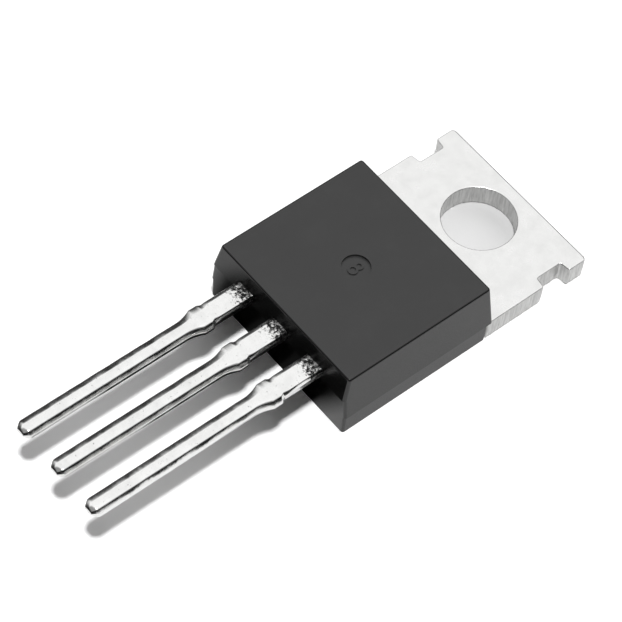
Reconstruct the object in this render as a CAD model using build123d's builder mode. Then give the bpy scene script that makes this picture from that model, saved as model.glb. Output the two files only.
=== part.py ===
from build123d import *
import math
import os

# Thyristor in a three-lead, through-hole power package with a bolt-on metal tab.
#
# Millimetres. It lies on its back: the seating face is the plane Z = 0, +Z goes up out of the
# marked face, +Y runs from the leads to the tab's end, and +X runs from the cathode lead to the
# gate lead. The origin is on the axis of the mounting hole, in the seating face.

# ---- Driving dimensions -----------------------------------------------------------------

# heatsink tab: a copper plate that carries the die and is also the centre lead
tab_thickness = 1.27
tab_width = 9.86
tab_end_y = 2.67              # free end of the tab
hole_radius = 1.88
tab_corner_chamfer = 0.15
tab_edge_round = 0.07         # die roll on the upper edges of the exposed plate
notch_outer_length = 1.66     # along the tab's side
notch_floor_length = 1.48
notch_depth = 0.58
notch_centre_y = 0.68
pad_back_width = 7.9          # the plate inside the epoxy, as it shows on the back
pad_lip_width = 8.6           # coined lip that keys the plate into the epoxy
pad_lip_thickness = 0.45
pad_front_y = -9.6

# epoxy body
body_height = 4.0
body_width = 10.0             # at the side parting line
body_side_draft = 5.8         # degrees, upper mould half
lower_side_draft = 1.0        # degrees, lower mould half
body_front_y = -12.73         # at the lead-end parting line
body_front_draft = 12.1       # degrees, upper half
lower_front_draft = 1.4       # degrees, lower half
body_rear_y = -3.5            # where the body meets the top of the tab
body_rear_draft = 6.7         # degrees
parting_step = 0.05           # the upper mould half overhangs the lower one by this much
body_corner_round = 0.15
body_edge_round = 0.12
epoxy_tab_wrap = 0.25         # how far the tab's full width runs into the epoxy

# ejector mark in the middle of the marked face, with a raised cavity figure 8
mark_radius = 0.72
mark_depth = 0.12
figure_height = 0.06
figure_stroke = 0.11
figure_loops = ((0.26, -0.19), (0.23, 0.19))   # radius and offset from the mark's centre

# leads
lead_pitch = 2.54
lead_thickness = 0.55
lead_underside_z = 2.6
lead_neck_width = 1.2         # wide part next to the body
lead_stub_proud = 0.11        # what is left of the dam bar, each side of the neck
lead_stub_length = 0.5
lead_blade_width = 0.94
lead_stub_y = -15.5           # outer end of the dam bar's stub
lead_flare_length = 0.95
lead_tip_y = -25.6
lead_tip_taper = 0.3
lead_tip_bevel = 0.14
lead_edge_round = 0.1
flag_width = 2.7              # bond flag at the inner end of each outer lead
flag_length = 1.25
flag_front_y = -11.6
flag_inner_x = 1.3
anode_bend_radius = 0.5
anode_bend_start = 0.35       # level length between the pad's front edge and the bend
anode_bend_run = 1.15         # length of the rising part along Y
anode_root_depth = 0.5        # how far the straight centre lead runs into the epoxy

# silicon and bonds
die_side = 3.6
die_thickness = 0.3
die_centre_y = -7.1
solder_thickness = 0.06
solder_margin = 0.15
cathode_wire_diameter = 0.38
gate_wire_diameter = 0.25
wire_loop_rise = 0.45         # centre line of the wires' level part, above the leads' top
cathode_pad_x = -0.52         # middle of the cathode wires' two bonds on the chip
cathode_pad_spacing = 0.85
cathode_pad_offset_y = -0.5   # from the chip's centre
cathode_flag_spacing = 1.0
gate_pad_inset_x = 0.45       # the gate's bond, from the chip's two edges
gate_pad_inset_y = 0.6
gate_flag_inset = 0.9         # from the flag's inner end
foot_length_ratio = 2.4       # a bond's flattened foot, in wire diameters
foot_width_ratio = 1.45
foot_height_ratio = 0.65
wire_bend_radius = 0.3

# ---- Derived sizes -----------------------------------------------------------------------

lead_top_z = lead_underside_z + lead_thickness
flag_bond_y = flag_front_y + flag_length / 2
flag_centre_x = flag_inner_x + flag_width / 2
die_top_z = tab_thickness + solder_thickness + die_thickness
wire_level_z = lead_top_z + wire_loop_rise
tab_shoulder_y = body_rear_y - epoxy_tab_wrap
anode_level_z = tab_thickness - lead_thickness / 2      # centre line where it leaves the pad
anode_bend_y = pad_front_y - anode_bend_start
anode_rise_end_y = anode_bend_y - anode_bend_run
lead_root_y = body_front_y + anode_root_depth
lead_middle_z = lead_underside_z + lead_thickness / 2
blade_end_y = lead_tip_y + lead_tip_taper


def drafted(height, draft):
    """How far a wall of this height and draft angle leans in."""
    return height * math.tan(math.radians(draft))


# ---- Leads -------------------------------------------------------------------------------


def lead_outside(x, inner_y):
    """One lead in plan, from inner_y to its tip: neck, dam-bar stub, concave flare, blade."""
    blade = lead_blade_width / 2
    neck = lead_neck_width / 2
    stub = neck + lead_stub_proud
    flare_y = lead_stub_y - lead_flare_length
    stub_inner_y = lead_stub_y + lead_stub_length
    with BuildSketch(Plane((x, 0, lead_underside_z))) as outline:
        with BuildLine():
            Line((0, blade_end_y), (blade, blade_end_y))
            Line((blade, blade_end_y), (blade, flare_y))
            flare = TangentArc((blade, flare_y), (stub, lead_stub_y), tangent=(0, 1))
            Polyline(flare @ 1, (stub, stub_inner_y), (neck, stub_inner_y), (neck, inner_y), (0, inner_y))
            mirror(about=Plane.YZ)
        make_face()
    extrude(outline.sketch, amount=lead_thickness)


def finish_lead(lead, x):
    """Round the lead's long edges outside the body, then add the tapered tip."""
    long_edges = lead.edges().filter_by(Axis.Y)
    fillet(long_edges.filter_by_position(Axis.Y, blade_end_y, body_front_y), radius=lead_edge_round)
    tip_width = lead_blade_width - 2 * lead_tip_bevel
    tip_thickness = lead_thickness - 2 * lead_tip_bevel
    with BuildSketch(Plane((x, blade_end_y, lead_middle_z), x_dir=(1, 0, 0), z_dir=(0, -1, 0))) as root:
        RectangleRounded(lead_blade_width, lead_thickness, lead_edge_round)
    with BuildSketch(Plane((x, lead_tip_y, lead_middle_z), x_dir=(1, 0, 0), z_dir=(0, -1, 0))) as tip:
        RectangleRounded(tip_width, tip_thickness, lead_edge_round / 2)
    loft([root.sketch, tip.sketch])


def outer_lead(side):
    """A lead that ends inside the epoxy in a flag for its bond wires. side is -1 or +1."""
    with BuildPart() as lead:
        lead_outside(side * lead_pitch, flag_front_y)
        with BuildSketch(Plane((side * flag_centre_x, flag_front_y, lead_underside_z))):
            Rectangle(flag_width, flag_length, align=(Align.CENTER, Align.MIN))
        extrude(amount=lead_thickness)
        finish_lead(lead, side * lead_pitch)
    return lead


cathode_lead = outer_lead(-1)
gate_lead = outer_lead(1)

# ---- Heatsink tab with the centre lead -----------------------------------------------------

with BuildPart() as heatsink_tab:
    with BuildSketch(Plane.XY):
        with Locations((0, tab_shoulder_y)):
            Rectangle(tab_width, tab_end_y - tab_shoulder_y, align=(Align.CENTER, Align.MIN))
        Circle(hole_radius, mode=Mode.SUBTRACT)
        with BuildLine():
            outer_half = notch_outer_length / 2
            floor_half = notch_floor_length / 2
            floor_x = tab_width / 2 - notch_depth
            Polyline(
                (tab_width / 2, notch_centre_y - outer_half),
                (floor_x, notch_centre_y - floor_half),
                (floor_x, notch_centre_y + floor_half),
                (tab_width / 2, notch_centre_y + outer_half),
                close=True,
            )
        notch = make_face(mode=Mode.PRIVATE)
        add(notch, mode=Mode.SUBTRACT)
        add(notch.mirror(Plane.YZ), mode=Mode.SUBTRACT)
    extrude(amount=tab_thickness)
    end_corners = heatsink_tab.edges().filter_by(Axis.Z).group_by(Axis.Y)[-1]
    chamfer(end_corners, length=tab_corner_chamfer)
    upper_rim = heatsink_tab.faces().sort_by(Axis.Z)[-1].edges()
    fillet(upper_rim.filter_by_position(Axis.Y, body_rear_y, tab_end_y), radius=tab_edge_round)
    with BuildSketch(Plane((0, pad_front_y, 0))):
        Rectangle(pad_back_width, tab_shoulder_y - pad_front_y, align=(Align.CENTER, Align.MIN))
    extrude(amount=tab_thickness)
    with BuildSketch(Plane((0, pad_front_y, tab_thickness))):
        Rectangle(pad_lip_width, tab_shoulder_y - pad_front_y, align=(Align.CENTER, Align.MIN))
    extrude(amount=-pad_lip_thickness)
    with BuildLine(Plane.YZ) as rise:
        FilletPolyline(
            (pad_front_y, anode_level_z),
            (anode_bend_y, anode_level_z),
            (anode_rise_end_y, lead_middle_z),
            (lead_root_y, lead_middle_z),
            radius=anode_bend_radius,
        )
    with BuildSketch(Plane(rise.line @ 0, x_dir=(1, 0, 0), z_dir=rise.line % 0)):
        Rectangle(lead_neck_width, lead_thickness)
    sweep()
    lead_outside(0, lead_root_y)
    finish_lead(heatsink_tab, 0)

# ---- Chip, solder and bond wires -----------------------------------------------------------

with BuildPart() as die_solder:
    with BuildSketch(Plane((0, die_centre_y, tab_thickness))):
        Rectangle(die_side + 2 * solder_margin, die_side + 2 * solder_margin)
    extrude(amount=solder_thickness)

with BuildPart() as silicon_die:
    with BuildSketch(Plane((0, die_centre_y, tab_thickness + solder_thickness))):
        Rectangle(die_side, die_side)
    extrude(amount=die_thickness)


def bond_wire(start, finish, diameter):
    """A wire from a foot on the chip to a foot on a lead's flag, in one upright plane."""
    run = Vector(finish[0] - start[0], finish[1] - start[1], 0)
    along = run.normalized()
    upright = Plane((start[0], start[1], 0), x_dir=along, z_dir=along.cross(Vector(0, 0, 1)))
    foot_height = foot_height_ratio * diameter
    centre_lift = foot_height * 0.75
    start_rise = wire_level_z - die_top_z - centre_lift
    finish_rise = wire_level_z - lead_top_z - centre_lift
    with BuildPart() as wire:
        for place, surface_z in ((start, die_top_z), (finish, lead_top_z)):
            with BuildSketch(Plane((place[0], place[1], surface_z), x_dir=along, z_dir=(0, 0, 1))):
                RectangleRounded(foot_length_ratio * diameter, foot_width_ratio * diameter, diameter / 4)
            extrude(amount=foot_height)
        with BuildLine(upright) as path:
            FilletPolyline(
                (0, die_top_z + centre_lift),
                (start_rise, wire_level_z),
                (run.length - finish_rise, wire_level_z),
                (run.length, lead_top_z + centre_lift),
                radius=wire_bend_radius,
            )
        with BuildSketch(Plane(path.line @ 0, z_dir=path.line % 0)):
            Circle(diameter / 2)
        sweep()
    return wire


def cathode_wire(side):
    """One of the two cathode wires. side is -1 for the outer one and +1 for the inner one."""
    pad_x = cathode_pad_x + side * cathode_pad_spacing / 2
    flag_x = -flag_centre_x + side * cathode_flag_spacing / 2
    start = (pad_x, die_centre_y + cathode_pad_offset_y)
    return bond_wire(start, (flag_x, flag_bond_y), cathode_wire_diameter)


cathode_wire_1 = cathode_wire(-1)
cathode_wire_2 = cathode_wire(1)
gate_pad = (die_side / 2 - gate_pad_inset_x, die_centre_y - die_side / 2 + gate_pad_inset_y)
gate_wire = bond_wire(gate_pad, (flag_inner_x + gate_flag_inset, flag_bond_y), gate_wire_diameter)

# ---- Epoxy body ----------------------------------------------------------------------------

# The two mould halves part at the tab's top along the sides and at the leads' underside at the
# lead end. Between those two heights the sides belong to the upper half and the front still
# belongs to the lower one, so the body is three drafted blocks, one on the other.
side_parting_z = tab_thickness
front_parting_z = lead_underside_z


def upper_side(z):
    return body_width / 2 - drafted(z - side_parting_z, body_side_draft)


def lower_side(z):
    return body_width / 2 - parting_step - drafted(side_parting_z - z, lower_side_draft)


def upper_front(z):
    return body_front_y + drafted(z - front_parting_z, body_front_draft)


def lower_front(z):
    return body_front_y + parting_step + drafted(front_parting_z - z, lower_front_draft)


def upper_rear(z):
    return body_rear_y - drafted(z - side_parting_z, body_rear_draft)


def mould_block(low_z, high_z, side, front, rear):
    """A block with drafted walls and rounded corners. side, front and rear give each wall by height."""
    sections = []
    for z in (low_z, high_z):
        length = rear(z) - front(z)
        with BuildSketch(Plane((0, front(z) + length / 2, z))) as section:
            RectangleRounded(2 * side(z), length, body_corner_round)
        sections.append(section.sketch)
    loft(sections, ruled=True)


with BuildPart() as epoxy_body:
    mould_block(0, side_parting_z, lower_side, lower_front, lambda z: tab_shoulder_y)
    mould_block(side_parting_z, front_parting_z, upper_side, lower_front, upper_rear)
    mould_block(front_parting_z, body_height, upper_side, upper_front, upper_rear)
    fillet(epoxy_body.faces().sort_by(Axis.Z)[-1].edges(), radius=body_edge_round)
    # the ejector mark and the raised figure in it
    mark_y = (body_front_y + body_rear_y) / 2
    with BuildSketch(Plane((0, mark_y, body_height))):
        Circle(mark_radius)
    extrude(amount=-mark_depth, mode=Mode.SUBTRACT)
    with BuildSketch(Plane((0, mark_y, body_height - mark_depth))):
        for loop_radius, loop_offset in figure_loops:
            with Locations((0, loop_offset)):
                Circle(loop_radius)
        for loop_radius, loop_offset in figure_loops:
            with Locations((0, loop_offset)):
                Circle(loop_radius - figure_stroke, mode=Mode.SUBTRACT)
    extrude(amount=figure_height)
    # the epoxy is moulded round everything inside it
    for piece in (heatsink_tab, cathode_lead, gate_lead, die_solder, silicon_die):
        add(piece.part, mode=Mode.SUBTRACT)
    for wire in (cathode_wire_1, cathode_wire_2, gate_wire):
        add(wire.part, mode=Mode.SUBTRACT)

# ---- Names and files -----------------------------------------------------------------------

pieces = {
    "epoxy_body": epoxy_body,
    "heatsink_tab": heatsink_tab,
    "cathode_lead": cathode_lead,
    "gate_lead": gate_lead,
    "silicon_die": silicon_die,
    "die_solder": die_solder,
    "cathode_bond_wire_1": cathode_wire_1,
    "cathode_bond_wire_2": cathode_wire_2,
    "gate_bond_wire": gate_wire,
}

os.makedirs("parts", exist_ok=True)
for label, piece in pieces.items():
    piece.part.label = label
    export_step(piece.part, f"parts/{label}.step")
    print(label, round(piece.part.volume, 3), "mm3")
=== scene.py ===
# %% [markdown]
# # A thyristor in a three-lead power package
#
# The part is a black epoxy block moulded round a small chip, with a tinned copper plate out of
# one end and three tinned leads out of the other. It is 28 mm long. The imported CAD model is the
# fixed frame: every size and place below comes from it. The epoxy block and the hidden chip keep
# their CAD shapes and only get better finishes. The plate and the leads are made anew, because a
# stamped, plated piece is nowhere as flat and sharp as its drawing.

import math

import bpy
import numpy as np
from mathutils import Matrix, Vector


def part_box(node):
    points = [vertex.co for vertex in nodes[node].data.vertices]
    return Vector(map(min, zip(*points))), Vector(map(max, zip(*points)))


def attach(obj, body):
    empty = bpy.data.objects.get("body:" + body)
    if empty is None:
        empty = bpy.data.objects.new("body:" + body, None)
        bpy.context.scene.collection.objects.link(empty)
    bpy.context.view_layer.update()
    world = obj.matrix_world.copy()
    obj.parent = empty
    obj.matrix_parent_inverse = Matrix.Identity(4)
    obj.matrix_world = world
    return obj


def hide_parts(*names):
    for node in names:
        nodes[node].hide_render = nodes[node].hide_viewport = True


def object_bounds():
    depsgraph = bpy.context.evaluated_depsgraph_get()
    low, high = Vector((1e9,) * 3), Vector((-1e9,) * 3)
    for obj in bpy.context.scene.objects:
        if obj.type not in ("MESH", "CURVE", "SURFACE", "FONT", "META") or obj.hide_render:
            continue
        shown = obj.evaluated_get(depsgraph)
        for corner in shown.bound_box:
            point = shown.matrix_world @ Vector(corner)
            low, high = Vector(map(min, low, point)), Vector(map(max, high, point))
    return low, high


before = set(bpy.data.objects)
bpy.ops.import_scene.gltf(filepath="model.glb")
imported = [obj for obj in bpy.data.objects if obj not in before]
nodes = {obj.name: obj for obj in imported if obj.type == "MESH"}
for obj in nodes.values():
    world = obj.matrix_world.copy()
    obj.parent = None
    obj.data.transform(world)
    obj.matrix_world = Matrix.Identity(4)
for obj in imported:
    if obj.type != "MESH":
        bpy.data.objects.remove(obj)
cad_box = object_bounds()
MM = 0.001
print("nodes:", ", ".join(sorted(nodes)))

# %% [markdown]
# ## Sizes
#
# A node's box gives where it is, in metres. Sizes that a box can't show, such as the width of a
# lead's neck, follow the package drawing. The neck and the stub are a hundredth of a millimetre
# slimmer on each side here, and the tips are bevelled deeper than drawn. All are kept in
# millimetres, as such a drawing is read, and turned to metres when a mesh is written.

# %% Sizes from the frame
def box_mm(node):
    """A node's lowest and highest corners, in millimetres."""
    low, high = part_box(node)
    return np.array(low) / MM, np.array(high) / MM


_, tab_high = box_mm("heatsink_tab")
body_low, body_high = box_mm("epoxy_body")
gate_low, gate_high = box_mm("gate_lead")
lead_middle_z = (gate_low[2] + gate_high[2]) / 2
lead_half_thickness = (gate_high[2] - gate_low[2]) / 2
tip_y = gate_low[1]
flag_rear_y = gate_high[1]
tab_half_width = tab_high[0]
tab_end_y = tab_high[1]
print("body", body_low.round(2), body_high.round(2))
print("leads' middle", round(lead_middle_z, 3), "tips at", round(tip_y, 2))

# %% Sizes from the package drawing, in millimetres
LEAD_PITCH = 2.54
BLADE_HALF_WIDTH = 0.47
NECK_HALF_WIDTH = 0.59
STUB_HALF_WIDTH = 0.70
STUB_FRONT_Y = -15.5
STUB_REAR_Y = -15.02
FLARE_LENGTH = 0.95
TIP_TAPER = 0.3
TIP_BEVEL = 0.19
TIP_NARROWING = 0.24
STATION_SPACING = 0.035
FLAG_FRONT_Y = -11.6
FLAG_HALF_WIDTH = 1.35
FLAG_MIDDLE_X = 2.65
TAB_THICKNESS = 1.27
HOLE_RADIUS = 1.88
NOTCH_DEPTH = 0.58
NOTCH_MIDDLE_Y = 0.68
NOTCH_HALF_MOUTH = 0.83
NOTCH_HALF_FLOOR = 0.74
TAB_CORNER = 0.15
SHOULDER_Y = -3.75
PAD_FRONT_Y = -9.6
PAD_HALF_WIDTH = 3.95
LIP_HALF_WIDTH = 4.3
ANODE_LEVEL_Z = 1.02
ANODE_BEND_Y = -9.95
ANODE_RISE_END_Y = -11.1
ANODE_BEND_RADIUS = 0.5

# %% [markdown]
# ## Meshes from grids
#
# Each new piece is a surface on a grid of rings: one parameter runs along the piece and the
# other goes round its section. A skin over the rings is all the topology that is needed, so one
# function makes every mesh. Rings that don't close on each other end in a fan to a middle point.

# %% A skin over rings
def skin(name, rings, closed_along=False):
    """A mesh from rings[i, j], a point in millimetres: i runs along the piece and j round it.

    A face joins (i, j), (i, j+1), (i+1, j+1), (i+1, j). Round the ring j wraps to 0. Along the
    piece i wraps too where closed_along is true, and else both ends get a fan to their mean.
    """
    count, around = rings.shape[:2]
    points = rings.reshape(-1, 3) * MM
    i = np.arange(count if closed_along else count - 1)[:, None]
    j = np.arange(around)[None, :]
    after, beside = (i + 1) % count, (j + 1) % around
    faces = np.stack(
        [i * around + j, i * around + beside, after * around + beside, after * around + j], axis=-1
    ).reshape(-1, 4)
    polygons = faces.tolist()
    if not closed_along:
        ends = np.stack([rings[0].mean(0), rings[-1].mean(0)]) * MM
        points = np.concatenate([points, ends])
        ring = np.arange(around)
        first = np.stack([np.roll(ring, -1), ring, np.full(around, count * around)], axis=-1)
        start = (count - 1) * around
        last = np.stack(
            [start + ring, start + np.roll(ring, -1), np.full(around, count * around + 1)], axis=-1
        )
        polygons += first.tolist() + last.tolist()
    mesh = bpy.data.meshes.new(name)
    mesh.from_pydata(points.tolist(), [], polygons)
    mesh.polygons.foreach_set("use_smooth", np.ones(len(mesh.polygons), bool))
    mesh.validate()
    mesh.update()
    piece = bpy.data.objects.new(name, mesh)
    bpy.context.scene.collection.objects.link(piece)
    return piece


def volume_mm3(piece):
    """Signed volume of a closed mesh: each triangle's corner product over six, added up."""
    mesh = piece.data
    mesh.calc_loop_triangles()
    corners = np.zeros(len(mesh.vertices) * 3)
    mesh.vertices.foreach_get("co", corners)
    corners = corners.reshape(-1, 3) / MM
    index = np.zeros(len(mesh.loop_triangles) * 3, int)
    mesh.loop_triangles.foreach_get("vertices", index)
    a, b, c = (corners[index.reshape(-1, 3)[:, k]] for k in range(3))
    return float(np.einsum("ij,ij->i", a, np.cross(b, c)).sum() / 6)


# %% Even points along a cornered line
def rounded_line(corners, radii, spacing):
    """Points every `spacing` along a 2-D line of corners, each corner cut by an arc.

    An arc of radius r touches both runs at r * tan(half the turn) from the corner. Its points
    are the centre plus r times a direction that swings from one run's normal to the other's.
    """
    corners = np.asarray(corners, float)
    parts = [corners[:1]]
    for before, corner, after, radius in zip(corners, corners[1:], corners[2:], radii):
        into = (corner - before) / np.linalg.norm(corner - before)
        out = (after - corner) / np.linalg.norm(after - corner)
        turn = math.atan2(into[0] * out[1] - into[1] * out[0], into @ out)
        if radius <= 0 or abs(turn) < 1e-6:
            parts.append(corner[None])
            continue
        side = math.copysign(1, turn)
        start = corner - into * radius * math.tan(abs(turn) / 2)
        centre = start + side * radius * np.array([-into[1], into[0]])
        swing = np.linspace(0, turn, 9)
        arm = start - centre
        parts.append(
            centre
            + np.cos(swing)[:, None] * arm
            + np.sin(swing)[:, None] * np.array([-arm[1], arm[0]])
        )
    parts.append(corners[-1:])
    line = np.concatenate(parts)
    reach = np.concatenate([[0], np.cumsum(np.linalg.norm(np.diff(line, axis=0), axis=1))])
    even = np.linspace(0, reach[-1], int(reach[-1] / spacing) + 1)
    return np.stack([np.interp(even, reach, line[:, k]) for k in range(2)], axis=-1)


# %% Smooth unevenness
def waver(position, wavelength, seed):
    """A smooth random wave in -1 to 1 along a length: sines of about one wavelength, added up."""
    draw = np.random.default_rng(seed)
    lengths = wavelength * draw.uniform(0.6, 1.7, 7)
    phases = draw.uniform(0, 2 * math.pi, 7)
    waves = np.sin(2 * math.pi * np.asarray(position)[..., None] / lengths + phases)
    return waves.mean(-1) * 1.6


# %% [markdown]
# ## The leads
#
# All three leads are stamped from one copper strip, held together by a bar until the body is
# moulded. The bar is then cut away, and leaves a small stub each side of every lead. The press
# rolls the upper edges over, and hot tin then rounds them more. So a lead's section is no
# rectangle but a soft-cornered one, and its width follows the stamped outline: a slim blade, a
# hollow flare, the stub, and a neck into the body.

# %% The stamped outline of a lead
def half_outline():
    """(y, half width) along the straight part of a lead, from its tip to its root in the body.

    Along the flare the half width grows as the power 1.9 of how far it has run.
    """
    flare = np.linspace(0, 1, 14)
    flare_y = STUB_FRONT_Y - FLARE_LENGTH * (1 - flare)
    flare_w = BLADE_HALF_WIDTH + (STUB_HALF_WIDTH - BLADE_HALF_WIDTH) * flare**1.9
    corners = np.concatenate(
        [
            [[tip_y, BLADE_HALF_WIDTH - TIP_NARROWING], [tip_y + TIP_TAPER, BLADE_HALF_WIDTH]],
            np.stack([flare_y, flare_w], axis=-1),
            [[STUB_REAR_Y, STUB_HALF_WIDTH], [STUB_REAR_Y + 0.17, NECK_HALF_WIDTH]],
            [[FLAG_FRONT_Y - 0.05, NECK_HALF_WIDTH]],
        ]
    )
    radii = np.zeros(len(corners) - 2)
    radii[0] = 0.25
    radii[-4:] = 0.03, 0.09, 0.05, 0.04
    return rounded_line(corners, radii, STATION_SPACING)


def blunt(y):
    """1 at a lead's tip and 0 past its taper, falling as the power 1.7 of the way."""
    return np.clip(1 - (y - tip_y) / (1.1 * TIP_TAPER), 0, 1) ** 1.7


outline = half_outline()
print("lead outline:", len(outline), "stations, widest", (2 * outline[:, 1].max()).round(3), "mm")


# %% The section of a lead
def shoulder(reach, tilts, wide, steps=25):
    """One upper side of a lead's section: (across, drop), `steps` points from its crown out.

    The tilt of the surface grows along the way as (reach, degrees) say. Adding up cos(tilt)
    gives how far across a point lies, and sin(tilt) how far it has dropped. The first column is
    then scaled to reach `wide`.
    """
    s = np.linspace(0, reach[-1], 300)
    tilt = np.radians(np.interp(s, reach, tilts))
    step = s[1] - s[0]
    across = np.concatenate([[0], np.cumsum(np.cos(tilt[1:]) * step)])
    drop = np.concatenate([[0], np.cumsum(np.sin(tilt[1:]) * step)])
    pick = np.linspace(0, len(s) - 1, steps).astype(int)
    return across[pick] * wide / across[-1], drop[pick]


# The shoulder on the -X side is a long, gentle slope. The one on the +X side turns down early
# into a steep side. The tilts are chosen for the bands of light they mirror.
sloped = shoulder((0, 0.15, 0.165, 0.44, 0.48), (0, 13, 17, 23, 90), BLADE_HALF_WIDTH)
full = shoulder((0, 0.13, 0.19, 0.22, 0.43, 0.48), (0, 12, 38, 66, 71, 90), BLADE_HALF_WIDTH)
print("shoulders drop", sloped[1][-1].round(3), "and", full[1][-1].round(3), "mm")


# %% A bar swept along its stations
def swept_bar(name, stations, seed):
    """A lead as rings. stations[i] = (x, y, z, rise, half width, half thickness).

    rise is the slope angle of the lead at that station. A section goes down one shoulder, along
    the side, under a rounded lower edge and back up. Where the lead is wider than the blade, the
    extra width goes to the flat crown in the neck, and to the shoulder by the bent-down stub:
    across = flat * min(1, across0 / 0.1) + across0 * (half width - flat) / blade's half width.
    """
    x, y, z, rise, width, thickness = (stations[:, k][:, None] for k in range(6))
    along = np.concatenate([[0], np.cumsum(np.linalg.norm(np.diff(stations[:, 1:3], axis=0), axis=1))])
    neck = np.clip((y - STUB_REAR_Y + 0.1) / 0.6, 0, 1)
    neck = neck * neck * (3 - 2 * neck)
    by_stub = np.clip((width - BLADE_HALF_WIDTH) / (STUB_HALF_WIDTH - BLADE_HALF_WIDTH), 0, 1)
    squash = thickness / lead_half_thickness
    sides = []
    for side, (across, drop), flat in ((-1, sloped, 0.05 * by_stub), (1, full, 0.16 * by_stub)):
        flat = flat * (1 - neck) + neck * (width - 0.62 * BLADE_HALF_WIDTH)
        stretch = np.clip((width - flat) / BLADE_HALF_WIDTH, 0.2, 1.35)
        long_wave, short_wave = waver(along, 1.4, seed + side), waver(along, 0.4, seed + 3)
        uneven = 1 + 0.07 * long_wave[:, None] + 0.02 * short_wave[:, None]
        u = flat * np.clip(across / 0.1, 0, 1) + across * stretch
        u = u * width / u[:, -1:]
        v = thickness - drop * np.clip(stretch, 0, 1.1) * squash * uneven
        low = 0.1 * squash
        bend = np.radians(np.linspace(0, 90, 6))
        edge_v = v[:, -1:]
        wall = np.linspace(0.25, 0.75, 3) * (-thickness + low - edge_v) + edge_v
        low_u = width - low * (1 - np.cos(bend))
        low_v = -thickness + low * (1 - np.sin(bend))
        under = low_u[:, -1:] * np.linspace(1, 0, 7)[1:-1]
        one = np.concatenate([u, np.broadcast_to(width, wall.shape), low_u, under], axis=1)
        other = np.concatenate([v, wall, low_v, np.broadcast_to(-thickness, under.shape)], axis=1)
        sides.append((side * one * 0.994, other - 0.002))
    (left_u, left_v), (right_u, right_v) = sides
    bottom = np.full_like(width, 0.0)
    u = np.concatenate([right_u, bottom, left_u[:, :0:-1]], axis=1)
    v = np.concatenate([right_v, -thickness + 0.002, left_v[:, :0:-1]], axis=1)
    rings = np.stack([x + u, y - v * np.sin(rise), z + v * np.cos(rise)], axis=-1)
    return skin(name, rings)


# %% The two outer leads
def outer_lead(side, name, seed):
    """A straight lead that widens inside the epoxy into the flag its wires are bonded to."""
    y, width = outline[:, 0], outline[:, 1]
    flag_y = np.array([FLAG_FRONT_Y, FLAG_FRONT_Y + 0.05, flag_rear_y - 0.05, flag_rear_y])
    flag_w = np.array([0.95, 1, 1, 0.97]) * FLAG_HALF_WIDTH
    x = np.concatenate([np.full(len(y), side * LEAD_PITCH), np.full(4, side * FLAG_MIDDLE_X)])
    y = np.concatenate([y, flag_y])
    width = np.concatenate([width, flag_w])
    thickness = lead_half_thickness - TIP_BEVEL * blunt(y)
    level = np.full(len(y), lead_middle_z)
    stations = np.stack([x, y, level, np.zeros(len(y)), width, thickness], axis=-1)
    return swept_bar(name, stations, seed)


cathode_tinned = outer_lead(-1, "cathode_lead_tinned", 3)
gate_tinned = outer_lead(1, "gate_lead_tinned", 8)
for piece in (cathode_tinned, gate_tinned):
    print(piece.name, len(piece.data.polygons), "faces,", round(volume_mm3(piece), 2), "mm3")


# %% The centre lead
def centre_lead():
    """The lead that is one with the plate: inside the epoxy it drops in a double bend."""
    straight = outline[outline[:, 0] < ANODE_RISE_END_Y - 0.9]
    bend = rounded_line(
        [
            (straight[-1, 0] + STATION_SPACING, lead_middle_z),
            (ANODE_RISE_END_Y, lead_middle_z),
            (ANODE_BEND_Y, ANODE_LEVEL_Z),
            (PAD_FRONT_Y + 0.4, ANODE_LEVEL_Z),
        ],
        (ANODE_BEND_RADIUS, ANODE_BEND_RADIUS),
        0.05,
    )
    y = np.concatenate([straight[:, 0], bend[:, 0]])
    z = np.concatenate([np.full(len(straight), lead_middle_z), bend[:, 1]])
    width = np.concatenate([straight[:, 1], np.full(len(bend), NECK_HALF_WIDTH)])
    rise = np.arctan2(np.gradient(z), np.gradient(y))
    thickness = lead_half_thickness - TIP_BEVEL * blunt(y)
    stations = np.stack([np.zeros(len(y)), y, z, rise, width, thickness], axis=-1)
    return swept_bar("centre_lead_tinned", stations, 5)


centre_tinned = centre_lead()
print(centre_tinned.name, round(volume_mm3(centre_tinned), 2), "mm3")

# %% [markdown]
# ## The heatsink plate
#
# The plate is punched from thick copper. A punch leaves three marks: the upper edges are rolled
# over, the wall below is bright and scored top to bottom, and the last third is torn and a
# little rough. All of that is shape, so the plate is a closed band: one parameter follows the
# outline round the bolt hole, and the other goes up the hole's wall, out over the top, down the
# side and back along the underside.

# %% The plate's outline
def plate_outline():
    """Points round the plate, counter-clockwise from the middle of its hidden front edge."""
    mouth, floor = NOTCH_HALF_MOUTH, NOTCH_HALF_FLOOR
    right = [
        (0, PAD_FRONT_Y),
        (LIP_HALF_WIDTH, PAD_FRONT_Y),
        (LIP_HALF_WIDTH, SHOULDER_Y),
        (tab_half_width, SHOULDER_Y),
        (tab_half_width, NOTCH_MIDDLE_Y - mouth),
        (tab_half_width - NOTCH_DEPTH, NOTCH_MIDDLE_Y - floor),
        (tab_half_width - NOTCH_DEPTH, NOTCH_MIDDLE_Y + floor),
        (tab_half_width, NOTCH_MIDDLE_Y + mouth),
        (tab_half_width, tab_end_y - TAB_CORNER),
        (tab_half_width - TAB_CORNER, tab_end_y),
        (0, tab_end_y),
    ]
    radii = (0.1, 0.1, 0.1, 0.09, 0.08, 0.08, 0.09, 0.16, 0.16)
    half = rounded_line(right, radii, 0.045)
    return np.concatenate([half, (half * [-1, 1])[-2:0:-1]])


rim = plate_outline()
print("plate outline:", len(rim), "points")


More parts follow.
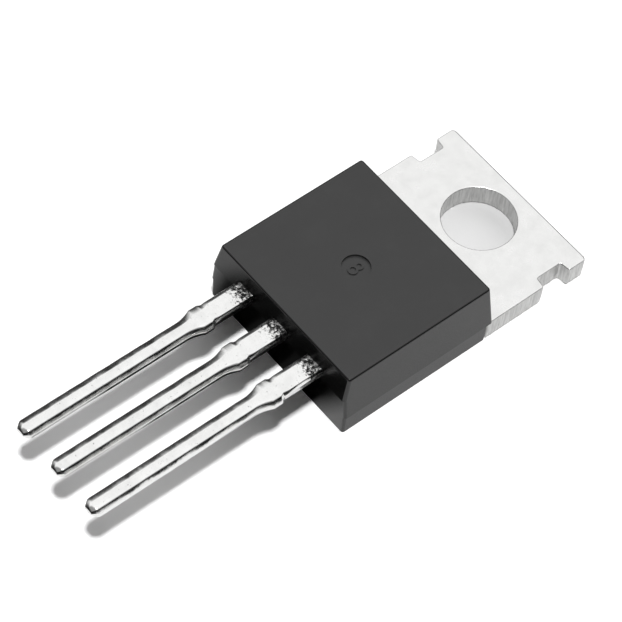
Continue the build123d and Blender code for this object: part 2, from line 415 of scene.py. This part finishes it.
# %% The plate as a closed band
def plate():
    """Rings across the plate, one for each outline point P, with H its partner on the hole.

    Over the top a point is H + f (P - H) for f from 0 to 1. H is on the hole in the direction
    (0.446 x, y) of P, so that the lines run nearly square to the sides and miss the notches.
    Rolled edges are quarter circles, and the walls go straight down with score lines added.
    """
    tangent = np.roll(rim, -1, axis=0) - np.roll(rim, 1, axis=0)
    tangent /= np.linalg.norm(tangent, axis=1)[:, None]
    outward = np.stack([tangent[:, 1], -tangent[:, 0]], axis=-1)
    unnotched = rim.copy()
    beside = (np.abs(rim[:, 1] - NOTCH_MIDDLE_Y) < NOTCH_HALF_MOUTH) & (np.abs(rim[:, 0]) > 4)
    unnotched[beside, 0] = np.sign(rim[beside, 0]) * tab_half_width
    spoke = unnotched * [0.446, 1]
    spoke = spoke / np.linalg.norm(spoke, axis=1)[:, None]
    in_epoxy = np.clip((SHOULDER_Y + 0.01 - rim[:, 1]) / 0.02, 0, 1)
    narrow = 1 - in_epoxy * (1 - PAD_HALF_WIDTH / LIP_HALF_WIDTH)
    rim_length = np.concatenate([[0], np.cumsum(np.linalg.norm(np.diff(rim, axis=0), axis=1))])
    hole_length = np.unwrap(np.arctan2(spoke[:, 1], spoke[:, 0])) * HOLE_RADIUS

    at_end = np.clip((rim[:, 1] - tab_end_y + 0.16) / 0.16, 0, 1)
    roll = (0.065 + 0.075 * at_end * at_end * (3 - 2 * at_end))[:, None]
    hole_roll = 0.05
    top, low = TAB_THICKNESS, 0.0
    rows, walls = [], []

    def row(flat, z, wall=0.0):
        height = np.broadcast_to(np.asarray(z, float).reshape(-1), len(flat))[:, None]
        rows.append(np.concatenate([flat, height], axis=1))
        walls.append(wall)

    def across(start, end, f):
        return start + f * (end - start)

    scored_hole = 0.007 * waver(hole_length, 0.16, 21) + 0.004 * waver(hole_length, 0.06, 22)
    scored_rim = 0.006 * waver(rim_length, 0.2, 23) + 0.004 * waver(rim_length, 0.07, 24)
    for z in np.linspace(0.03, top - hole_roll, 12):
        torn = 0.02 * np.clip((0.42 - z) / 0.15, 0, 1) * (1 + 0.5 * waver(hole_length, 0.3, 25))
        row(spoke * (HOLE_RADIUS + np.abs(scored_hole) + torn)[:, None], z, 1.0)
    for a in np.linspace(0, math.pi / 2, 6)[1:]:
        keep = (1 - math.sin(a)) * np.abs(scored_hole)
        radius = HOLE_RADIUS + keep + hole_roll * (1 - math.cos(a))
        row(spoke * radius[:, None], top - hole_roll * (1 - math.sin(a)), 0.5 * math.cos(a))
    inner = spoke * (HOLE_RADIUS + hole_roll)
    outer = rim - roll * outward
    for f in np.concatenate([[0.01, 0.03, 0.06], np.linspace(0.1, 0.9, 13), [0.94, 0.97, 0.99]]):
        row(across(inner, outer, f), top)
    for a in np.linspace(0, math.pi / 2, 8):
        row(rim - roll * (1 - math.sin(a)) * outward, top - roll * (1 - math.cos(a)), math.sin(a) ** 4)
    for z in np.linspace(top - 0.16, 0.86, 4):
        row(rim - np.abs(scored_rim)[:, None] * outward, z, 1.0)
    for z in np.linspace(0.78, 0.03, 9):
        torn = 0.018 * np.clip((0.45 - z) / 0.15, 0, 1) * (1 + 0.5 * waver(rim_length, 0.4, 26))
        wall = rim - (np.abs(scored_rim) + torn)[:, None] * outward
        row(wall * np.stack([narrow, np.ones(len(rim))], axis=-1), z, 1.0)
    under = (rim - 0.04 * outward) * np.stack([narrow, np.ones(len(rim))], axis=-1)
    for f in np.concatenate([[1, 0.985, 0.95], np.linspace(0.9, 0.1, 9), [0.03, 0.0]]):
        row(across(spoke * (HOLE_RADIUS + 0.05), under, f), low)
    rings = np.stack(rows, axis=1)
    piece = skin("heatsink_plate", rings, closed_along=True)
    sheared = piece.data.attributes.new("sheared", "FLOAT", "POINT")
    sheared.data.foreach_set("value", np.tile(np.array(walls, np.float32), len(rings)))
    return piece


plate_tinned = plate()
print(plate_tinned.name, len(plate_tinned.data.polygons), "faces,", round(volume_mm3(plate_tinned), 2), "mm3")

# %% [markdown]
# ## Colours and nodes
#
# A colour is written as the hex value that the eye sees. The renderer works in linear light, so
# one function turns it over. Another small function adds a node, and that is all a material
# needs. Patterns read Object coordinates, which are metres on this part: a pattern whose detail
# is s millimetres across has a scale of 1000 / s.

# %% Two helpers for materials
def linear(hex_colour):
    """sRGB hex to linear RGBA: c / 12.92 in the darks, else ((c + 0.055) / 1.055) ^ 2.4."""
    channels = np.array([int(hex_colour[k : k + 2], 16) for k in (1, 3, 5)]) / 255
    values = np.where(channels <= 0.04045, channels / 12.92, ((channels + 0.055) / 1.055) ** 2.4)
    return (*values.tolist(), 1.0)


def add(tree, kind, settings=None, links=None):
    """Adds a node. settings sets its properties, or its inputs by name or number; links feeds
    its inputs from sockets."""
    node = tree.nodes.new(kind)
    for key, value in (settings or {}).items():
        if isinstance(key, str) and hasattr(node, key):
            setattr(node, key, value)
        else:
            node.inputs[key].default_value = value
    for key, socket in (links or {}).items():
        tree.links.new(socket, node.inputs[key])
    return node


def new_material(name, **values):
    """A material with one Principled shader. values are the shader's own inputs."""
    material = bpy.data.materials.new(name)
    material.use_nodes = True
    tree = material.node_tree
    tree.nodes.clear()
    shader = add(tree, "ShaderNodeBsdfPrincipled", values)
    add(tree, "ShaderNodeOutputMaterial", links={"Surface": shader.outputs[0]})
    place = add(tree, "ShaderNodeTexCoord").outputs["Object"]
    return material, tree, shader, place


def ramp(tree, source, stops):
    """A Color Ramp over (position, hex colour) stops."""
    node = add(tree, "ShaderNodeValToRGB", links={0: source})
    band = node.color_ramp
    while len(band.elements) < len(stops):
        band.elements.new(0.5)
    for element, (position, colour) in zip(band.elements, stops):
        element.position, element.color = position, linear(colour)
    return node.outputs[0]


def span(tree, source, low, high, to_low, to_high):
    """Map Range: low..high becomes to_low..to_high, held at the ends."""
    node = add(tree, "ShaderNodeMapRange", {1: low, 2: high, 3: to_low, 4: to_high}, {0: source})
    return node.outputs[0]


# %% Helpers that blend and connect
def wire_up(tree, shader, colour, roughness):
    """Feeds the finished colour and roughness to the shader."""
    tree.links.new(colour, shader.inputs["Base Color"])
    tree.links.new(roughness, shader.inputs["Roughness"])


def blend_colour(tree, factor, colour, other):
    """colour, turning to the hex colour or socket `other` where factor is 1."""
    node = add(tree, "ShaderNodeMix", {"data_type": "RGBA"}, {0: factor, 6: colour})
    if isinstance(other, str):
        node.inputs[7].default_value = linear(other)
    else:
        tree.links.new(other, node.inputs[7])
    return node.outputs[2]


def blend_value(tree, factor, value, other):
    """value, turning to the number `other` where factor is 1."""
    node = add(tree, "ShaderNodeMix", {3: other}, {0: factor, 2: value})
    return node.outputs[0]


# %% [markdown]
# ## Epoxy moulding compound
#
# The body is a black epoxy filled with silica and a little carbon black, pressed hot into a
# steel mould whose walls were spark-eroded. The eye sees a deep grey, not black, with an even
# satin shine, and close up the fine orange-peel grain that the sparks left in the mould. Grains
# are about 0.03 mm across, and they are drawn at 0.05 mm so that they show at all.

# %% The epoxy's material
epoxy, tree, shader, place = new_material(
    "epoxy_moulding_compound", **{"IOR": 1.55, "Metallic": 0.0}
)
grain = add(tree, "ShaderNodeTexNoise", {"Scale": 1000 / 0.05, "Detail": 3.0, "Roughness": 0.6}, {0: place})
cloud = add(tree, "ShaderNodeTexNoise", {"Scale": 1000 / 1.8, "Detail": 4.0, "Roughness": 0.65}, {0: place})
shade = add(tree, "ShaderNodeMath", {"operation": "MULTIPLY_ADD", 1: 0.35, 2: 0.325}, {0: grain.outputs[0]})
blend = add(
    tree, "ShaderNodeMath", {"operation": "MULTIPLY_ADD", 1: 0.5}, {0: cloud.outputs[0], 2: shade.outputs[0]}
)
colour = ramp(tree, blend.outputs[0], [(0.3, "#191919"), (0.75, "#1f1f1f"), (1.0, "#282828")])

# The moulded edges and the wall by the leads are blacker and shinier than the rest. Their black is
# painted: on the wall by the leads it is painted shade, and along the rounded edges a painted dark
# reflection. They are told apart by which way the surface faces. How dark they are is matched.
surface = add(tree, "ShaderNodeNewGeometry").outputs["Normal"]
normal = add(tree, "ShaderNodeSeparateXYZ", links={0: surface}).outputs
tilt, facing = normal[2], normal[1]
# Painted dark reflection: the rounded edges, where the surface tilts between level and upright, are coloured
# near black, #080808.
above = span(tree, tilt, 0.26, 0.34, 0.0, 1.0)
below = span(tree, tilt, 0.96, 0.99, 1.0, 0.0)
edge_painted_reflection = add(tree, "ShaderNodeMath", {"operation": "MULTIPLY"}, {0: above, 1: below}).outputs[0]
# Painted shade: the wall that faces the leads' end is coloured near black, #060606.
front_wall_painted_shade = span(tree, facing, -0.9, -0.95, 0.0, 1.0)
colour = blend_colour(tree, front_wall_painted_shade, colour, "#060606")
roughness = blend_value(tree, front_wall_painted_shade, span(tree, grain.outputs[0], 0.3, 0.7, 0.34, 0.48), 0.2)
colour = blend_colour(tree, edge_painted_reflection, colour, "#080808")
roughness = blend_value(tree, edge_painted_reflection, roughness, 0.1)
wire_up(tree, shader, colour, roughness)
peel = add(tree, "ShaderNodeBump", {"Strength": 0.25, "Distance": 0.01 * MM}, {"Height": grain.outputs[0]})
tree.links.new(peel.outputs[0], shader.inputs["Normal"])
print("made", epoxy.name)

# %% [markdown]
# ## Tin plating
#
# The copper is dipped or plated with tin. Where the plate lies flat the tin is a pale, slightly
# clouded mirror. On punched walls it follows the score lines, which run from top to bottom, so
# they look streaked and duller. Where the leads leave the body, resin has bled on to them and
# been blasted off again, which leaves the tin rough and dark there.

# %% The plating's material
def tin(name, pale, dark, rough):
    """Tin plating: a clouded colour from dark to pale, and a mean roughness that clouds too."""
    material, tree, shader, place = new_material(name, **{"Metallic": 1.0})
    cloud = add(
        tree, "ShaderNodeTexNoise", {"Scale": 1000 / 0.7, "Detail": 5.0, "Roughness": 0.6}, {0: place}
    )
    colour = ramp(tree, cloud.outputs[0], [(0.3, dark), (0.6, pale)])
    roughness = span(tree, cloud.outputs[0], 0.3, 0.7, rough * 0.7, rough * 1.5)
    fine = add(tree, "ShaderNodeTexNoise", {"Scale": 1000 / 0.09, "Detail": 3.0}, {0: place})
    bump = add(
        tree, "ShaderNodeBump", {"Strength": 0.1, "Distance": 0.01 * MM}, {"Height": fine.outputs[0]}
    )
    tree.links.new(bump.outputs[0], shader.inputs["Normal"])
    return material, tree, shader, place, colour, roughness


# %% Tin on the leads, with the blasted resin by the body
tin_on_leads, tree, shader, place, colour, roughness = tin(
    "tin_plated_copper_leads", "#f4f4f3", "#ebebea", 0.13
)
axes = add(tree, "ShaderNodeSeparateXYZ", links={0: place})
near = span(tree, axes.outputs[1], -13.75 * MM, -13.0 * MM, 0.0, 1.0)
crumbs = add(
    tree, "ShaderNodeTexNoise", {"Scale": 1000 / 0.16, "Detail": 5.0, "Roughness": 0.85}, {0: place}
)
level = add(tree, "ShaderNodeMath", {"operation": "MULTIPLY_ADD", 1: 0.2}, {0: near, 2: crumbs.outputs[0]})
resin = span(tree, level.outputs[0], 0.63, 0.68, 0.0, 1.0)
stray = add(tree, "ShaderNodeTexNoise", {"Scale": 1000 / 0.45, "Detail": 6.0, "Roughness": 0.8}, {0: place})
spots = span(tree, stray.outputs[0], 0.7, 0.74, 0.0, 0.7)
marked = add(tree, "ShaderNodeMath", {"operation": "MAXIMUM"}, {0: resin, 1: spots})
colour = blend_colour(tree, marked.outputs[0], colour, "#232323")
roughness = blend_value(tree, marked.outputs[0], roughness, 0.45)
wire_up(tree, shader, colour, roughness)
print("made", tin_on_leads.name)

# %% Tin on the plate, duller and streaked where it was punched
tin_on_plate, tree, shader, place, colour, roughness = tin(
    "tin_plated_copper_plate", "#efefee", "#e8e8e7", 0.2
)
punched = add(tree, "ShaderNodeAttribute", {"attribute_name": "sheared"}).outputs["Fac"]
stretched = add(
    tree, "ShaderNodeMapping", {"Scale": (1000 / 0.11, 1000 / 0.11, 1000 / 1.4)}, {"Vector": place}
)
streak = add(
    tree, "ShaderNodeTexNoise", {"Scale": 1.0, "Detail": 4.0, "Roughness": 0.7}, {0: stretched.outputs[0]}
)
wall = ramp(tree, streak.outputs[0], [(0.3, "#a2a2a1"), (0.5, "#c0c0bf"), (0.72, "#d4d4d3")])
colour = blend_colour(tree, punched, colour, wall)
roughness = blend_value(tree, punched, roughness, 0.38)
wire_up(tree, shader, colour, roughness)
print("made", tin_on_plate.name)

# %% [markdown]
# ## Inside the epoxy
#
# Nobody sees the chip unless the part is cut open, but a part library should be able to do that.
# Silicon is a dark, bluish mirror under its oxide, the solder is a dull grey, and the bond wires
# are drawn aluminium.

# %% Materials of the hidden pieces
silicon, tree, shader, place = new_material("polished_silicon", **{"IOR": 1.55, "Roughness": 0.12})
shine = add(tree, "ShaderNodeTexNoise", {"Scale": 1000 / 0.8, "Detail": 2.0}, {0: place})
oxide = ramp(tree, shine.outputs[0], [(0.3, "#2b2f3a"), (0.7, "#3a4150")])
tree.links.new(oxide, shader.inputs["Base Color"])

solder, tree, shader, place = new_material("soft_solder", **{"Metallic": 1.0})
frost = add(tree, "ShaderNodeTexNoise", {"Scale": 1000 / 0.12, "Detail": 4.0}, {0: place})
dull_grey = ramp(tree, frost.outputs[0], [(0.3, "#9a9a97"), (0.7, "#bdbdba")])
wire_up(tree, shader, dull_grey, span(tree, frost.outputs[0], 0.3, 0.7, 0.4, 0.6))

aluminium, tree, shader, place = new_material("drawn_aluminium_wire", **{"Metallic": 1.0})
draw_marks = add(tree, "ShaderNodeTexNoise", {"Scale": 1000 / 0.05, "Detail": 2.0}, {0: place})
bright_grey = ramp(tree, draw_marks.outputs[0], [(0.3, "#cfd0d1"), (0.7, "#e3e4e5")])
wire_up(tree, shader, bright_grey, span(tree, draw_marks.outputs[0], 0.3, 0.7, 0.25, 0.4))

# %% Each piece gets its finish
def dress(piece, material):
    """Gives a mesh one material in its first slot."""
    piece.data.materials.clear()
    piece.data.materials.append(material)


finishes = {
    "epoxy_body": epoxy,
    "silicon_die": silicon,
    "die_solder": solder,
    "cathode_bond_wire_1": aluminium,
    "cathode_bond_wire_2": aluminium,
    "gate_bond_wire": aluminium,
}
for node, material in finishes.items():
    dress(nodes[node], material)

for piece, node in (
    (cathode_tinned, "cathode_lead"),
    (gate_tinned, "gate_lead"),
    (centre_tinned, "heatsink_tab"),
    (plate_tinned, "heatsink_tab"),
):
    dress(piece, tin_on_plate if piece is plate_tinned else tin_on_leads)
    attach(piece, "root")
    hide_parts(node)
print("dressed", len(finishes), "nodes and 4 new pieces")

# %% [markdown]
# ## Floor, light and camera
#
# The part lies on a sheet of paper under one small, high lamp, with a wide panel behind it, in a
# tent of white cloth that stops short of the table. The lamp gives the crisp shadow. The tent is
# what the metal mirrors, and the dark gap below it draws the dark bands along the rounded edges.
# Seen from low down, that same gap makes level metal look dark.
#
# The paper isn't one plain white. It bounces less light than it shows, so that shadows stay dark,
# and it is lifted a little more for the camera. Inside the bolt hole it is grey and not lifted: that
# is painted shade. A patch of it under the leads is dark in reflections only: it stands in for the
# shade there, and it is a trick of staging.

# %% The paper floor
half = 1.5
paper_mesh = bpy.data.meshes.new("paper_floor")
paper_mesh.from_pydata(
    [(-half, -half, 0), (half, -half, 0), (half, half, 0), (-half, half, 0)], [], [(0, 1, 2, 3)]
)
paper_mesh.transform(Matrix.Translation((0, 0, cad_box[0][2] - 0.01 * MM)))
paper = bpy.data.objects.new("paper_floor", paper_mesh)
bpy.context.scene.collection.objects.link(paper)

paper_white = bpy.data.materials.new("white_paper")
paper_white.use_nodes = True
tree = paper_white.node_tree
tree.nodes.clear()
rays = add(tree, "ShaderNodeLightPath").outputs
seen = add(
    tree, "ShaderNodeMath", {"operation": "MAXIMUM"}, {0: rays["Is Camera Ray"], 1: rays["Is Glossy Ray"]}
)
seen = add(
    tree, "ShaderNodeMath", {"operation": "MAXIMUM"}, {0: seen.outputs[0], 1: rays["Is Transmission Ray"]}
)
bounced = add(tree, "ShaderNodeRGB").outputs[0]
bounced.default_value = linear("#b4b4b4")
tone = blend_colour(tree, seen.outputs[0], bounced, "#ffffff")
spot = add(tree, "ShaderNodeTexCoord").outputs["Object"]
away = add(tree, "ShaderNodeVectorMath", {"operation": "LENGTH"}, {0: spot}).outputs["Value"]
# Painted shade: inside the bolt hole the paper is grey, #e2e2e2, and gets no lift for the camera.
outside = span(tree, away, 2.4 * MM, 2.6 * MM, 0, 1)
hole_painted_shade = add(tree, "ShaderNodeMath", {"operation": "LESS_THAN", 1: 0.5}, {0: outside}).outputs[0]
tone = blend_colour(tree, hole_painted_shade, tone, "#e2e2e2")
under_leads = add(
    tree, "ShaderNodeVectorMath", {"operation": "DISTANCE", 1: (-1 * MM, -15.5 * MM, 0)}, {0: spot}
).outputs["Value"]
shaded = span(tree, under_leads, 4.4 * MM, 5.6 * MM, 1, 0)
shaded = add(
    tree, "ShaderNodeMath", {"operation": "MULTIPLY"}, {0: shaded, 1: rays["Is Glossy Ray"]}
).outputs[0]
tone = blend_colour(tree, shaded, tone, "#3c3c3c")
diffuse = add(tree, "ShaderNodeBsdfDiffuse", {"Roughness": 0.0}, {"Color": tone})
lifted = ramp(tree, outside, [(0, "#000000"), (1, "#898989")])
page = add(tree, "ShaderNodeBsdfDiffuse", {"Roughness": 0.0}, {"Color": lifted})
no_page = add(tree, "ShaderNodeBsdfDiffuse", {"Roughness": 0.0, "Color": (0, 0, 0, 1)})
lift = add(
    tree,
    "ShaderNodeMixShader",
    links={0: rays["Is Camera Ray"], 1: no_page.outputs[0], 2: page.outputs[0]},
)
both = add(tree, "ShaderNodeAddShader", links={0: diffuse.outputs[0], 1: lift.outputs[0]})
add(tree, "ShaderNodeOutputMaterial", links={"Surface": both.outputs[0]})
dress(paper, paper_white)

# %% The tent, as the world
world = bpy.data.worlds.new("light_tent")
bpy.context.scene.world = world
world.use_nodes = True
world.cycles.sampling_method = "NONE"
tree = world.node_tree
tree.nodes.clear()
rays = add(tree, "ShaderNodeLightPath").outputs
sky = add(tree, "ShaderNodeTexCoord").outputs["Generated"]
height = add(tree, "ShaderNodeSeparateXYZ", links={0: sky}).outputs[2]
rearward = add(
    tree, "ShaderNodeVectorMath", {"operation": "DOT_PRODUCT", 1: (-0.707, 0.707, 0.0)}, {0: sky}
).outputs["Value"]
cloth_level = span(tree, rearward, -0.16, 0.02, 0.3, 1.0)
above_gap = span(tree, height, 0.46, 0.56, 0.04, 1.0)
tent = add(tree, "ShaderNodeMath", {"operation": "MULTIPLY"}, {0: cloth_level, 1: above_gap}).outputs[0]
mirrored = add(
    tree,
    "ShaderNodeMath",
    {"operation": "MAXIMUM"},
    {0: rays["Is Glossy Ray"], 1: rays["Is Transmission Ray"]},
)
soft = add(tree, "ShaderNodeBackground", {"Color": linear("#ffffff"), "Strength": 0.02})
cloth = add(tree, "ShaderNodeBackground", {"Color": linear("#ffffff")}, {"Strength": tent})
white = add(tree, "ShaderNodeBackground", {"Color": linear("#ffffff"), "Strength": 1.0})
first = add(
    tree, "ShaderNodeMixShader", links={0: mirrored.outputs[0], 1: soft.outputs[0], 2: cloth.outputs[0]}
)
second = add(
    tree,
    "ShaderNodeMixShader",
    links={0: rays["Is Camera Ray"], 1: first.outputs[0], 2: white.outputs[0]},
)
add(tree, "ShaderNodeOutputWorld", links={"Surface": second.outputs[0]})

# %% The high lamp and the wide panel behind
def lamp(name, kind, towards, distance):
    """A lamp of that kind at a distance along a direction from the part, shining back at it.

    Gives the lamp's object. Its settings are in the object's data.
    """
    data = bpy.data.lights.new(name, kind)
    piece = bpy.data.objects.new(name, data)
    direction = Vector(towards).normalized()
    turn = direction.to_track_quat("Z", "Y").to_matrix().to_4x4()
    piece.matrix_world = Matrix.Translation(direction * distance) @ turn
    bpy.context.scene.collection.objects.link(piece)
    return piece


high = lamp("high_lamp", "SUN", (math.tan(math.radians(8)), -math.tan(math.radians(6.5)), 1.0), 1.0)
high.data.energy = math.pi * 0.76
high.data.angle = math.radians(6.5)

PANEL_WIDTH, PANEL_HEIGHT, PANEL_POWER = 1.5, 0.36, 4.0
panel_height = math.radians(50)
panel = lamp("rear_panel", "AREA", (-0.15, math.cos(panel_height), math.sin(panel_height)), 0.6)
panel.data.shape, panel.data.size, panel.data.size_y = "RECTANGLE", PANEL_WIDTH, PANEL_HEIGHT
panel.data.energy = PANEL_POWER * PANEL_WIDTH * PANEL_HEIGHT
panel.visible_glossy = False
print("lamps:", high.name, panel.name)

# %% The camera
CAMERA_DISTANCE = 136.42
lens = bpy.data.cameras.new("camera")
lens.lens, lens.sensor_width = 168.07, 36
lens.clip_start, lens.clip_end = 0.01, 10
azimuth, elevation, roll = (math.radians(v) for v in (44.61, 55.45, 7.39))
aim = Vector((-0.297, -10.412, 2.0)) * MM
back = Vector(
    (
        math.sin(azimuth) * math.cos(elevation),
        -math.cos(azimuth) * math.cos(elevation),
        math.sin(elevation),
    )
)
right = Vector((math.cos(azimuth), math.sin(azimuth), 0))
up = back.cross(right)
right, up = (
    math.cos(roll) * right + math.sin(roll) * up,
    math.cos(roll) * up - math.sin(roll) * right,
)
turned = Matrix((right, up, back)).transposed().to_4x4()
camera = bpy.data.objects.new("camera", lens)
camera.matrix_world = Matrix.Translation(aim + CAMERA_DISTANCE * MM * back) @ turned
bpy.context.scene.collection.objects.link(camera)
bpy.context.scene.camera = camera
bpy.context.scene.view_settings.view_transform = "Standard"
print("camera", [round(v / MM, 2) for v in camera.location])
